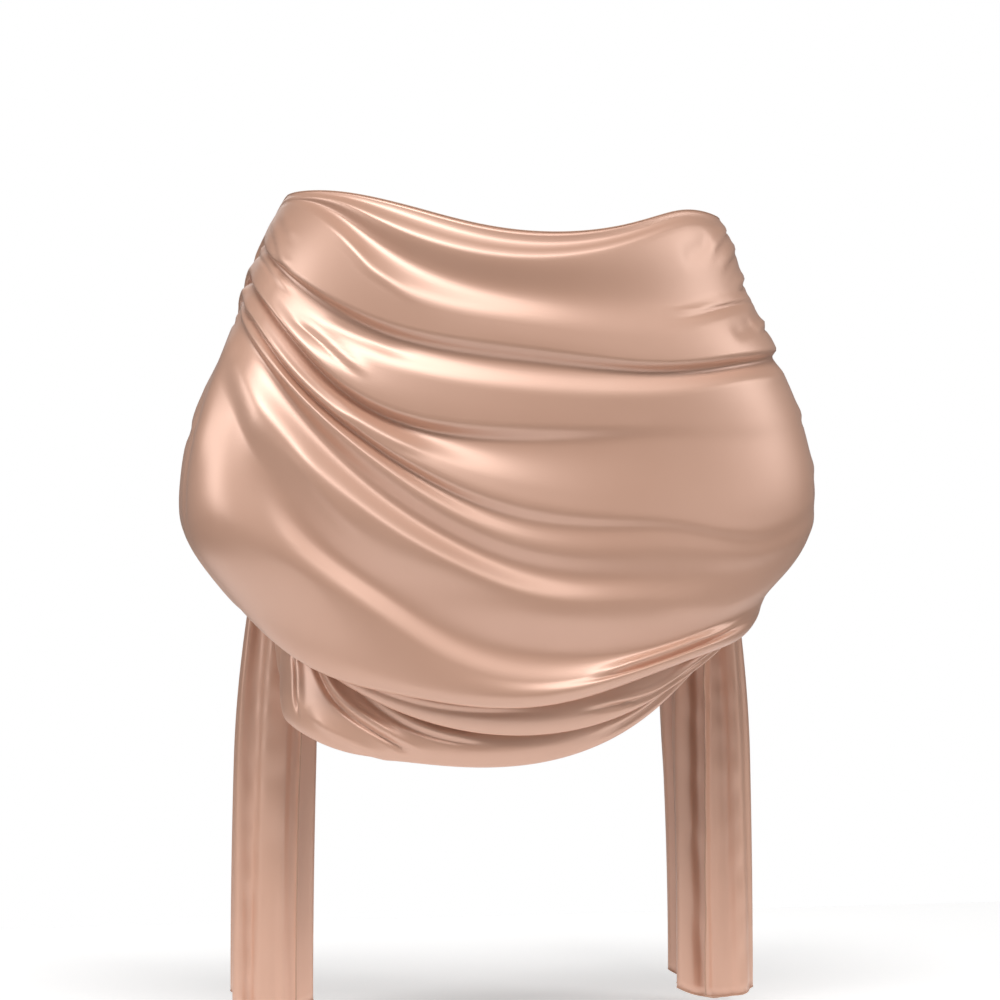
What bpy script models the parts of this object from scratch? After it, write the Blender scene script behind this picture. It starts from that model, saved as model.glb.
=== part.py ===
"""Evening stole: one long rectangle of satin, worn low round both upper arms.

The cloth crosses the back in swags, wraps each upper arm, passes forward over the
bent forearm and falls beside the hip as a pleated tail. Its lower border is tucked
up twice below the swags.

Frame: metres, +Z up. The wearer faces -Y and the wearer's left is +X. The origin is
midway between the upper arms, at the height where the top edge crosses them.
"""

import math

import bpy
import numpy as np

# Driving sizes
NAME = "evening_stole"
WALL = 0.0015                # thickness of the cloth wall
BACK_GAP = 0.0005            # clear space between the back and an arm wrap
FOREARM_GAP = 0.0009         # clear space between an arm wrap and its tail, where the wall turns down
DRAPE_SPLIT = 0.62           # where the back ends and the arm wraps begin, as a share of the girth
TURN_STEPS = 3               # facets round the turned-under lower border
TURN_ROWS = 2                # share of the cloth's rows taken by that border
TURN_DEPTH = 0.007           # half the depth of the turned-under border
TURN_ANGLE = math.radians(165)
BACK_COLUMNS = 20
ARM_COLUMNS = 4
FORWARD_COLUMNS = 7
TAIL_COLUMNS = 7
TAIL_ROWS = 36               # facets across a tail's pleats
TAIL_SPACING = 1.6           # packs a tail's facets closer near the forearm
TUCK_COLUMNS = 26
TUCK_TURN_STEPS = 2
TUCK_COURSE = 1.18           # how far forward under each arm the tucks run
SADDLE_PLEAT = 0.011         # half depth of a pleat on the forearm
GATHER_START = 1.35          # where along its course the cloth begins to gather for the forearm
OPENING_START = 1.90         # where its pleats begin to open out into the tail
OPENING_LENGTH = 0.70
HEM_LIFT = 0.011             # how much higher the hem hangs at a pleat's folded edge
PLEAT_ROUNDING = 0.0034      # how far a pleat's folded edge is spread to make it round
FALL_RADIUS = 0.034          # turn of the cloth from the forearm into the tail

# Level sections of the worn form, from the top down
SECTION_COLUMNS = ("height", "half_width", "back_depth", "side_depth")
SECTIONS = (
    (0.020, 0.202, 0.078, 0.000),
    (0.000, 0.214, 0.088, 0.002),
    (-0.050, 0.238, 0.106, 0.006),
    (-0.100, 0.256, 0.116, 0.010),
    (-0.150, 0.277, 0.121, 0.014),
    (-0.200, 0.298, 0.124, 0.020),
    (-0.250, 0.311, 0.128, 0.026),
    (-0.300, 0.315, 0.133, 0.030),
    (-0.340, 0.308, 0.137, 0.028),
    (-0.370, 0.288, 0.139, 0.024),
    (-0.400, 0.264, 0.140, 0.018),
    (-0.440, 0.242, 0.137, 0.012),
    (-0.500, 0.234, 0.130, 0.006),
    (-0.570, 0.232, 0.116, 0.000),
)

# Stations round the girth: -1 right outer arm, 0 centre back, 1 left outer arm
STATIONS = (-1.0, -0.75, -0.5, -0.25, 0.0, 0.25, 0.5, 0.75, 1.0)

# Swag folds, from the top edge down. Each has a ridge, a crest near its lower side and a
# trough under it. First row: the line's height at each station, in millimetres. Second
# row: how far it stands out of the level sections there.
FOLD_COLUMNS = ("name", "heights_mm", "proud_mm")
FOLDS = (
    ("top_edge", (-18, -15, -14, -32, -39, -19, -3, 1, 0),
     (0, 0, 0, 0, 0, 0, 0, 0, 0)),
    ("edge_hollow", (-26, -23, -20, -40, -50, -28, -8, -2, -2),
     (-1, -1, -1, -1.5, -1.5, -1.5, -1, -0.5, -0.5)),
    ("crest_1", (-34, -32, -28, -50, -66, -46, -14, -5, -5),
     (1, 2, 3, 4, 5, 5, 4, 1, 0.5)),
    ("trough_1", (-90, -96, -108, -107, -100, -72, -28, -9, -9),
     (-2, -4, -5, -3, -3, -4, -3, -1, -0.5)),
    ("ridge_2", (-100, -112, -124, -142, -130, -106, -46, -16, -14),
     (0, -1, 2, 3, 4, 6, 6, 1, 0.5)),
    ("crest_2", (-145, -150, -158, -165, -152, -134, -101, -68, -44),
     (3, 5, 6, 5, 6, 6, 6, 4, 2)),
    ("trough_2", (-155, -160, -168, -176, -168, -147, -108, -74, -50),
     (-3, -6, -7, -6, -5, -7, -8, -5, -3)),
    ("ridge_3", (-170, -178, -186, -200, -198, -176, -140, -90, -62),
     (0, 0.5, 2, 2, 3, 2, -1, 0, 0)),
    ("crest_3", (-205, -212, -222, -226, -228, -212, -155, -106, -77),
     (0.5, 0.5, 1, 1.5, 5, 7, 6, 5, 3)),
    ("trough_3", (-225, -235, -245, -242, -246, -222, -161, -112, -83),
     (0, 0, 0, -0.5, -4, -7, -7, -5, -3)),
    ("ridge_4", (-270, -290, -318, -306, -290, -238, -174, -121, -91),
     (1, 1, 1, 2.5, 4, 3, 0, 1, 0)),
    ("crest_4", (-285, -305, -331, -318, -306, -250, -181, -128, -98),
     (1, 1, 1.5, 3, 6, 6, 4, 4, 3)),
    ("trough_4", (-300, -320, -342, -330, -322, -257, -187, -134, -104),
     (0, 0, 0, 0, -2, -4, -5, -3, -2)),
    ("ridge_5", (-315, -335, -354, -347, -343, -272, -194, -141, -110),
     (1, 1, 1, 1, 2, 4, 3, 2, 1)),
    ("trough_5", (-330, -350, -372, -374, -365, -296, -206, -150, -118),
     (0, 0, -1, -2, -5, -6, -8, -4, -2)),
    ("ridge_6", (-355, -380, -403, -398, -393, -328, -244, -176, -138),
     (1, 1, 1.5, 3, 7, 7, 6, 3, 1)),
    ("trough_6", (-385, -405, -426, -446, -446, -402, -300, -210, -170),
     (-1, -1.5, -3, -6, -8, -8, -8, -3, 0)),
    ("ridge_7", (-398, -418, -436, -459, -474, -440, -370, -320, -290),
     (2, 2, 2, 2, 3, 5, 7, 6, 4)),
    ("lower_swell", (-408, -428, -443, -467, -488, -476, -450, -420, -384),
     (5, 6, 7, 8, 9, 9, 8, 7, 6)),
    ("lower_border", (-420, -438, -452, -476, -499, -490, -473, -446, -412), None),
)
TALL_STEP = 0.018            # lines further apart than this at the centre back get a facet row between

# The two tucks: each one's hidden upper line, its swell and its lower line
UPPER_TUCK = (
    ("hidden_edge", (-404, -420, -434, -452, -478, -468, -450, -425, -396),
     (-17, -17, -16, -16, -16, -16, -16, -16, -17)),
    ("swell", (-420, -438, -462, -497, -514, -500, -470, -436, -406),
     (-12, -11, -8, -6, -5, -6, -9, -11, -12)),
    ("lower_line", (-428, -446, -471, -508, -527, -511, -478, -444, -412), None),
)
LOWER_TUCK = (
    ("hidden_edge", (-410, -430, -450, -474, -500, -490, -472, -446, -420),
     (-28, -29, -30, -31, -31, -31, -31, -29, -27)),
    ("swell", (-428, -444, -473, -515, -543, -541, -528, -510, -490),
     (-25, -24, -21, -17, -14, -13, -10, -8, -8)),
    ("lower_line", (-436, -452, -483, -529, -557, -554, -543, -525, -507), None),
)
TUCK_TURN_DEPTH = 0.004
TUCK_SHARE = 0.93            # where across the cloth's width the tucks pass the forearm
SHARE_FOR_EACH_METRE = 1.2   # how much further across the width a line that hangs lower passes
TUCK_CLOSING = 0.15          # how much closer to the wrap the tucks lie where they end
TUCK_RISE = 0.75             # how far up into the wrap's border each tuck's ends are gathered
TUCK_RISE_START = 0.88       # where along its course that begins

# The cloth's line over each forearm and its tail, from its top edge to its lower border
TAIL_LINE_COLUMNS = (
    "width_share", "forearm_x", "forearm_y", "forearm_z", "hem_x", "hem_y", "hem_z", "pleat_half_depth",
)
LEFT_TAIL = (
    (0.00, 0.238, -0.046, -0.218, 0.220, -0.046, -0.814, 0.041),
    (0.33, 0.236, -0.085, -0.222, 0.218, -0.090, -0.816, 0.041),
    (0.67, 0.230, -0.130, -0.226, 0.213, -0.140, -0.812, 0.039),
    (1.00, 0.224, -0.175, -0.232, 0.206, -0.185, -0.804, 0.037),
)
RIGHT_TAIL = (
    (0.00, 0.262, -0.046, -0.222, 0.240, -0.046, -0.812, 0.036),
    (0.33, 0.260, -0.085, -0.226, 0.245, -0.090, -0.816, 0.041),
    (0.67, 0.256, -0.130, -0.230, 0.254, -0.140, -0.810, 0.041),
    (1.00, 0.250, -0.175, -0.236, 0.262, -0.185, -0.802, 0.038),
)
# Folded edges of each tail's pleats, from its top edge: place across the cloth and how
# far the edge stands out, as a share of the tail's pleat depth. They turn out and in by turns.
PLEAT_COLUMNS = ("width_share", "reach")
LEFT_PLEATS = (
    (-0.02, 0.45), (0.105, 1.00), (0.235, 1.00), (0.340, 0.86), (0.470, 0.95),
    (0.600, 1.00), (0.715, 0.80), (0.850, 0.92), (0.965, 0.85), (1.070, 0.80),
)
RIGHT_PLEATS = (
    (-0.03, 0.25), (0.120, 1.00), (0.240, 0.95), (0.375, 1.00), (0.485, 0.82),
    (0.605, 0.92), (0.740, 1.00), (0.850, 0.85), (0.975, 0.95), (1.090, 0.80),
)
FORWARD_PULL = 1.15          # how far the cloth runs straight forward before it turns in
INWARD_PULL = 0.75           # how flat it lies across the forearm

SATIN_COLOUR = (0.62, 0.36, 0.26, 1.0)
SATIN_ROUGHNESS = 0.42
SATIN_SHEEN = 0.3

COURSE_AT_ARM = 1.0          # course 0 is the centre back, 1 the outer arm
COURSE_AT_FOREARM = 2.0
COURSE_AT_HEM = 3.0
COURSE_STEP = 0.01           # span over which directions are measured
MM = 0.001


def spline_through(knots, values, at):
    """Natural cubic spline through values at rising knots, read at the places in at."""
    knots = np.asarray(knots, float)
    values = np.asarray(values, float)
    count = len(knots)
    gaps = np.diff(knots)
    system = np.zeros((count, count))
    right = np.zeros_like(values)
    system[0, 0] = system[-1, -1] = 1.0
    for i in range(1, count - 1):
        system[i, i - 1:i + 2] = gaps[i - 1], 2 * (gaps[i - 1] + gaps[i]), gaps[i]
        rise_after = (values[i + 1] - values[i]) / gaps[i]
        rise_before = (values[i] - values[i - 1]) / gaps[i - 1]
        right[i] = 6 * (rise_after - rise_before)
    bend = np.linalg.solve(system, right.reshape(count, -1)).reshape(values.shape)
    at = np.asarray(at, float)
    i = np.clip(np.searchsorted(knots, at, side="right") - 1, 0, count - 2)
    widen = (...,) + (None,) * (values.ndim - 1)
    gap = gaps[i][widen]
    t = (at - knots[i])[widen]
    slope = (values[i + 1] - values[i]) / gap - gap * (2 * bend[i] + bend[i + 1]) / 6
    return values[i] + slope * t + bend[i] / 2 * t ** 2 + (bend[i + 1] - bend[i]) / (6 * gap) * t ** 3


def ease(t):
    """0 to 1 with no slope at either end."""
    return (1 - np.cos(np.pi * np.clip(t, 0, 1))) / 2


def level_point(girth, height):
    """The worn form at a share of the girth and a height."""
    rising = np.array(SECTIONS[::-1])
    section = spline_through(rising[:, 0], rising[:, 1:], height)
    half_width, back, side = section[..., 0], section[..., 1], section[..., 2]
    x = np.sign(girth) * half_width * (1 - (1 - np.abs(girth)) ** 2)
    y = side + (back - side) * (1 - girth ** 2)
    return np.stack([x, y, height], -1)


def fold_lines(lines, girth):
    """Each line's height and proudness round the girth, lines down the first axis."""
    heights = spline_through(STATIONS, np.array([line[1] for line in lines]).T * MM, girth)
    proud = spline_through(STATIONS, np.array([line[2] for line in lines[:-1]]).T * MM, girth)
    return np.moveaxis(heights, -1, 0), np.moveaxis(proud, -1, 0)


def line_slopes(heights, proud):
    """The cloth's slope at each line: none at a crest or trough, a harmonic mean elsewhere."""
    rise = np.diff(proud, axis=0) / np.diff(heights, axis=0)
    above, below = rise[:-1], rise[1:]
    same_way = above * below > 0
    total = np.where(same_way, above + below, 1.0)
    inner = np.where(same_way, 2 * above * below / total, 0.0)
    return np.concatenate([rise[:1], inner, np.zeros_like(rise[:1])])


def folded_profile(lines, girth, row, turn_rows, turn_depth):
    """Height and proudness of the cloth at a girth and a row counted from the first line."""
    heights, proud = fold_lines(lines, girth)
    last = len(lines) - 2
    slopes = line_slopes(heights[:-1], proud)
    k = np.clip(np.floor(row).astype(int), 0, last - 1)
    t = np.clip(row - k, 0, 1)

    def at(table, line):
        return np.take_along_axis(table, line[None], 0)[0]

    step = at(heights, k + 1) - at(heights, k)
    height = at(heights, k) + step * t
    out = (
        (1 + 2 * t) * (1 - t) ** 2 * at(proud, k)
        + t * (1 - t) ** 2 * step * at(slopes, k)
        + t ** 2 * (3 - 2 * t) * at(proud, k + 1)
        + t ** 2 * (t - 1) * step * at(slopes, k + 1)
    )
    turn = np.clip((row - last) / turn_rows, 0, 1) * TURN_ANGLE
    height = height - (heights[last] - heights[-1]) * np.sin(turn)
    out = out - turn_depth * (1 - np.cos(turn))
    return height, out


LAST_ROW = len(FOLDS) - 2 + TURN_ROWS


def drape_point(side, course, row):
    """The smooth back and outer arm, before its folds stand out."""
    girth = side * np.clip(course, 0, COURSE_AT_ARM)
    height, _ = folded_profile(FOLDS, girth, row, TURN_ROWS, TURN_DEPTH)
    return level_point(girth, height)


def tail_table(side):
    return np.array(LEFT_TAIL if side > 0 else RIGHT_TAIL)


def forearm_point(side, share):
    """The cloth's line over the forearm, at a share of the cloth's width."""
    table = tail_table(side)
    x, y, z = np.moveaxis(spline_through(table[:, 0], table[:, 1:4], share), -1, 0)
    return np.stack([side * x, y, z], -1)


def forward_curve(side, course, arm, before, forearm):
    """A Hermite curve that leaves the outer arm as the cloth does there and crosses the forearm inward."""
    away = arm - before
    away = away / np.linalg.norm(away, axis=-1, keepdims=True)
    reach = np.linalg.norm(forearm - arm, axis=-1, keepdims=True)
    inward = np.array([-side, 0.0, 0.0])
    t = (course - COURSE_AT_ARM)[..., None]
    return (
        (1 + 2 * t) * (1 - t) ** 2 * arm
        + t * (1 - t) ** 2 * away * reach * FORWARD_PULL
        + t ** 2 * (3 - 2 * t) * forearm
        + t ** 2 * (t - 1) * inward * reach * INWARD_PULL
    )


def forward_point(side, course, row):
    """From the outer arm forward and over the forearm, one curve to each row."""
    arm = drape_point(side, np.full_like(course, COURSE_AT_ARM), row)
    before = drape_point(side, np.full_like(course, COURSE_AT_ARM - COURSE_STEP), row)
    return forward_curve(side, course, arm, before, forearm_point(side, row / LAST_ROW))


def tail_point(side, course, row):
    """A quarter turn off the forearm, then the fall to the hem."""
    table = tail_table(side)
    start = forearm_point(side, row / LAST_ROW)
    hem = spline_through(table[:, 0], table[:, 4:7], row / LAST_ROW) * np.array([side, 1.0, 1.0])
    turned = start + np.array([-side * FALL_RADIUS, 0.0, -FALL_RADIUS])
    fall = np.linalg.norm(hem - turned, axis=-1)
    quarter = FALL_RADIUS * np.pi / 2
    run = (course - COURSE_AT_FOREARM) * (quarter + fall)
    angle = np.clip(run / FALL_RADIUS, 0, np.pi / 2)
    bent = start + FALL_RADIUS * np.stack(
        [-side * np.sin(angle), np.zeros_like(angle), np.cos(angle) - 1], -1
    )
    share = np.clip((run - quarter) / fall, 0, 1)[..., None]
    drift = (hem - turned) * np.array([1.0, 1.0, 0.0])
    drop = (hem - turned) * np.array([0.0, 0.0, 1.0])
    return bent + drop * share + drift * share * (2 - share)


def smooth_point(side, course, row):
    """The stole's middle surface on one side, with no folds or pleats."""
    drape = drape_point(side, course, row)
    forward = forward_point(side, np.clip(course, COURSE_AT_ARM, COURSE_AT_FOREARM), row)
    tail = tail_point(side, np.clip(course, COURSE_AT_FOREARM, COURSE_AT_HEM), row)
    wide = course[..., None]
    return np.where(wide <= COURSE_AT_ARM, drape, np.where(wide <= COURSE_AT_FOREARM, forward, tail))


def level_normal(girth, height):
    """The outward direction of a level section, which is what its folds stand out along."""
    step = 0.001
    before = level_point(girth - step, height)
    along = level_point(girth + step, height) - before
    normal = np.stack([-along[..., 1], along[..., 0], np.zeros_like(girth)], -1)
    return normal / np.linalg.norm(normal, axis=-1, keepdims=True)


def sheet_normal(side, course, row):
    """Numerical normal of the smooth surface past the outer arm, on the side of the cloth's face."""
    along = smooth_point(side, course + COURSE_STEP, row) - smooth_point(side, course - COURSE_STEP, row)
    below = np.clip(row + COURSE_STEP, 2 * COURSE_STEP, LAST_ROW - TURN_ROWS)
    above = below - 2 * COURSE_STEP
    down = smooth_point(side, course, below) - smooth_point(side, course, above)
    normal = side * np.cross(along, down)
    return normal / np.linalg.norm(normal, axis=-1, keepdims=True)


def pleat_wave(side, share):
    """How far a tail's pleats stand out, from -1 to 1, and the spread that rounds their edges."""
    edges = np.array(LEFT_PLEATS if side > 0 else RIGHT_PLEATS)
    turns = np.pi * (np.arange(len(edges)) - 0.5)
    phase = spline_through(edges[:, 0], turns, share)
    reach = spline_through(edges[:, 0], edges[:, 1], share)
    return reach * np.sin(phase), np.sin(2 * phase)


def cloth_point(side, course, row):
    """A point of the stole: swag folds on the back and arms, pleats from the forearm on."""
    course, row = np.broadcast_arrays(np.asarray(course, float), np.asarray(row, float))
    point = smooth_point(side, course, row)
    girth = side * np.clip(course, 0, COURSE_AT_ARM)
    height, proud = folded_profile(FOLDS, girth, row, TURN_ROWS, TURN_DEPTH)
    fade = 1 - ease(course - COURSE_AT_ARM)
    flat = level_normal(np.clip(girth, -0.998, 0.998), height)
    round_arm = np.clip(course - COURSE_AT_ARM, 0, 1)[..., None]
    turned = sheet_normal(side, np.clip(course, COURSE_AT_ARM, COURSE_AT_HEM - 0.02), row)
    direction = np.where(round_arm > 0, turned, flat)
    table = tail_table(side)
    at_hem = spline_through(table[:, 0], table[:, 7], row / LAST_ROW)
    gather = ease((course - GATHER_START) / (COURSE_AT_FOREARM - GATHER_START))
    open_out = ease((course - OPENING_START) / OPENING_LENGTH)
    depth = SADDLE_PLEAT * gather + (at_hem - SADDLE_PLEAT) * open_out
    wave, spread = pleat_wave(side, row / LAST_ROW)
    # The cloth's face looks up on the forearm and in towards the body on the tail.
    point = point + direction * (proud * fade - depth * wave)[..., None]
    point[..., 1] += PLEAT_ROUNDING * open_out * spread
    point[..., 2] += HEM_LIFT * wave ** 2 * np.clip(course - COURSE_AT_FOREARM, 0, 1) ** 2
    return point


def gathered_profile(lines, girth, course, row):
    """A tuck's folded profile, drawn up to the swags' lower border towards its ends."""
    height, proud = folded_profile(lines, girth, row, 1, TUCK_TURN_DEPTH)
    rise = TUCK_RISE * ease((course - TUCK_RISE_START) / (TUCK_COURSE - TUCK_RISE_START))
    height = height + rise * (fold_lines(FOLDS, girth)[0][-1] - height)
    proud = proud + rise * (fold_lines(lines, girth)[1][0] - proud)
    return height, proud


def tuck_surface(lines, side, course, row):
    """One tuck's smooth surface: round the back, then forward under the arm with the lower border."""
    girth = side * np.clip(course, 0, COURSE_AT_ARM)
    before_arm = np.full_like(course, side * (COURSE_AT_ARM - COURSE_STEP))
    height, proud = gathered_profile(lines, girth, course, row)
    before_height, _ = gathered_profile(lines, before_arm, course, row)
    arm = level_point(girth, height)
    before = level_point(before_arm, before_height)
    below = fold_lines(FOLDS, girth)[0][-2] - height
    forearm = forearm_point(side, TUCK_SHARE + below * SHARE_FOR_EACH_METRE)
    forward = forward_curve(side, np.clip(course, COURSE_AT_ARM, COURSE_AT_FOREARM), arm, before, forearm)
    return np.where(course[..., None] <= COURSE_AT_ARM, arm, forward), girth, height, proud


def tuck_point(lines, side, course, row):
    """A point of one tuck, which lies inside the swags' lower border."""
    course, row = np.broadcast_arrays(np.asarray(course, float), np.asarray(row, float))
    point, girth, height, proud = tuck_surface(lines, side, course, row)
    forward = np.clip(course, COURSE_AT_ARM, COURSE_AT_FOREARM)
    under = sheet_normal(side, forward, np.full_like(row, LAST_ROW - TURN_ROWS))
    flat = level_normal(np.clip(girth, -0.998, 0.998), height)
    direction = np.where(course[..., None] > COURSE_AT_ARM, under, flat)
    closer = 1 - TUCK_CLOSING * ease((course - COURSE_AT_ARM) / (TUCK_COURSE - COURSE_AT_ARM))
    return point + direction * (proud * closer)[..., None]


def satin(name):
    material = bpy.data.materials.new(name)
    material.use_nodes = True
    shader = material.node_tree.nodes["Principled BSDF"]
    shader.inputs["Base Color"].default_value = SATIN_COLOUR
    shader.inputs["Roughness"].default_value = SATIN_ROUGHNESS
    shader.inputs["Metallic"].default_value = 0.0
    shader.inputs["Sheen Weight"].default_value = SATIN_SHEEN
    material.diffuse_color = SATIN_COLOUR
    return material


def cloth_piece(name, points, face_side, collection):
    """A wall of cloth round a grid of points, made as an open surface with Solidify."""
    rows, columns = points.shape[:2]
    faces = []
    for i in range(rows - 1):
        for j in range(columns - 1):
            corner = i * columns + j
            face = (corner, corner + 1, corner + columns + 1, corner + columns)
            faces.append(face if face_side > 0 else face[::-1])
    mesh = bpy.data.meshes.new(name)
    mesh.from_pydata([tuple(point) for point in points.reshape(-1, 3)], [], faces)
    mesh.materials.append(satin(name + "_satin"))
    mesh.shade_smooth()
    mesh.set_sharp_from_angle(angle=math.radians(50))
    piece = bpy.data.objects.new(name, mesh)
    collection.objects.link(piece)
    wall = piece.modifiers.new("wall", "SOLIDIFY")
    wall.thickness = WALL
    wall.offset = 0.0
    wall.use_even_offset = False
    wall.use_quality_normals = True
    return piece


def half_gap(side, course, rows, gap):
    """The step in course that spans half a seam's gap, on each row."""
    step = 0.001
    run = cloth_point(side, course + step, rows) - cloth_point(side, course - step, rows)
    return gap * step / np.linalg.norm(run, axis=-1)


def drape_rows():
    """Facet rows on every fold line, and between two that are far apart."""
    last = LAST_ROW - TURN_ROWS
    centre = [line[1][len(STATIONS) // 2] * MM for line in FOLDS]
    between = [k + 0.5 for k in range(last) if centre[k] - centre[k + 1] > TALL_STEP]
    turn = np.linspace(last, LAST_ROW, TURN_STEPS + 1)[1:]
    return np.concatenate([np.sort(np.concatenate([np.arange(last + 1), between])), turn])


def both_sides(make_point, course, rows):
    """One grid of points across the back, from the right side's course through 0 to the left's."""
    right = make_point(-1, -course[course < 0][None, :], rows[:, None])
    left = make_point(1, course[course >= 0][None, :], rows[:, None])
    return np.concatenate([right, left], 1)


def build_back(collection, rows):
    half = DRAPE_SPLIT - half_gap(1, DRAPE_SPLIT, rows, BACK_GAP).max()
    course = np.linspace(-half, half, BACK_COLUMNS + 1)
    cloth_piece("back_drape", both_sides(cloth_point, course, rows), 1, collection)


def build_arm(name, side, collection, rows):
    start = DRAPE_SPLIT + half_gap(side, DRAPE_SPLIT, rows, BACK_GAP)
    end = COURSE_AT_FOREARM - half_gap(side, COURSE_AT_FOREARM, rows, FOREARM_GAP)
    round_arm = np.linspace(start, COURSE_AT_ARM, ARM_COLUMNS + 1, axis=1)
    forward = np.linspace(COURSE_AT_ARM, end, FORWARD_COLUMNS + 1, axis=1)[:, 1:]
    course = np.concatenate([round_arm, forward], 1)
    cloth_piece(name, cloth_point(side, course, rows[:, None]), side, collection)


def build_tail(name, side, collection):
    rows = np.linspace(0, LAST_ROW, TAIL_ROWS + 1)
    start = COURSE_AT_FOREARM + half_gap(side, COURSE_AT_FOREARM, rows, FOREARM_GAP)[:, None]
    fall = np.linspace(0, 1, TAIL_COLUMNS + 1) ** TAIL_SPACING
    course = start + (COURSE_AT_HEM - start) * fall
    cloth_piece(name, cloth_point(side, course, rows[:, None]), side, collection)


def build_tuck(name, lines, collection):
    course = np.linspace(-TUCK_COURSE, TUCK_COURSE, TUCK_COLUMNS + 1)
    rows = np.concatenate([[0.0, 0.5, 1.0], 1 + np.arange(1, TUCK_TURN_STEPS + 1) / TUCK_TURN_STEPS])

    def make_point(side, course, row):
        return tuck_point(lines, side, course, row)

    cloth_piece(name, both_sides(make_point, course, rows), 1, collection)


def main():
    for old in list(bpy.data.objects):
        bpy.data.objects.remove(old, do_unlink=True)
    collection = bpy.data.collections.new(NAME)
    bpy.context.scene.collection.children.link(collection)
    rows = drape_rows()
    build_back(collection, rows)
    build_arm("left_arm_wrap", 1, collection, rows)
    build_arm("right_arm_wrap", -1, collection, rows)
    build_tail("left_tail", 1, collection)
    build_tail("right_tail", -1, collection)
    build_tuck("upper_tuck", UPPER_TUCK, collection)
    build_tuck("lower_tuck", LOWER_TUCK, collection)


main()
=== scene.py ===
"""Evening stole: the looks of one long rectangle of satin, worn low round both arms.

Frame: metres, +Z up. The wearer faces -Y and the wearer's left is +X.
"""

import math

import bpy
import numpy as np
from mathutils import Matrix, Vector


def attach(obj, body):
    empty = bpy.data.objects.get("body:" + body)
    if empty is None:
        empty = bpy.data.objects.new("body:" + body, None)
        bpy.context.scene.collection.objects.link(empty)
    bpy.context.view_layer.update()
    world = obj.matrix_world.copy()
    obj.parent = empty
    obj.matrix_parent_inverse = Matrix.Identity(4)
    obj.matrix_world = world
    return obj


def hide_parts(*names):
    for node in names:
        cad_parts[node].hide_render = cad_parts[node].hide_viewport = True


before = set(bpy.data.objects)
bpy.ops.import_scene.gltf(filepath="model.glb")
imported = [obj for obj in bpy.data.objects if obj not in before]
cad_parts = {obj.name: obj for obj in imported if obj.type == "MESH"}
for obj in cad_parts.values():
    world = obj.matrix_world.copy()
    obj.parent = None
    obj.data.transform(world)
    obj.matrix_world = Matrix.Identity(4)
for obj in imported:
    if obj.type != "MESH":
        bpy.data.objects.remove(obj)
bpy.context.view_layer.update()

TURN_ROWS = 2                # share of the cloth's rows taken by the turned-under border
TURN_DEPTH = 0.007           # half the depth of that border
TURN_ANGLE = math.radians(165)
TUCK_COURSE = 1.18           # how far forward under each arm the tucks run
SADDLE_PLEAT = 0.011         # half depth of a pleat on the forearm
GATHER_START = 1.35          # where along its course the cloth begins to gather for the forearm
OPENING_START = 1.90         # where its pleats begin to open out into the tail
OPENING_LENGTH = 0.70
HEM_LIFT = 0.011             # how much higher the hem hangs at a pleat's folded edge
PLEAT_ROUNDING = 0.0034      # how far a pleat's folded edge is spread to make it round
FALL_RADIUS = 0.034          # turn of the cloth from the forearm into the tail
COURSE_AT_ARM = 1.0          # course 0 is the centre back, 1 the outer arm
COURSE_AT_FOREARM = 2.0
COURSE_AT_HEM = 3.0
COURSE_STEP = 0.01           # span over which directions are measured
MM = 0.001

# Level sections of the worn form, from the top down
SECTION_COLUMNS = ("height", "half_width", "back_depth", "side_depth")
SECTIONS = (
    (0.020, 0.202, 0.078, 0.000),
    (0.000, 0.214, 0.088, 0.002),
    (-0.050, 0.238, 0.106, 0.006),
    (-0.100, 0.256, 0.116, 0.010),
    (-0.150, 0.277, 0.121, 0.014),
    (-0.200, 0.298, 0.124, 0.020),
    (-0.250, 0.311, 0.128, 0.026),
    (-0.300, 0.315, 0.133, 0.030),
    (-0.340, 0.308, 0.137, 0.028),
    (-0.370, 0.288, 0.139, 0.024),
    (-0.400, 0.264, 0.140, 0.018),
    (-0.440, 0.242, 0.137, 0.012),
    (-0.500, 0.234, 0.130, 0.006),
    (-0.570, 0.232, 0.116, 0.000),
)

# Stations round the girth: -1 right outer arm, 0 centre back, 1 left outer arm
STATIONS = (-1.0, -0.75, -0.5, -0.25, 0.0, 0.25, 0.5, 0.75, 1.0)

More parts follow.
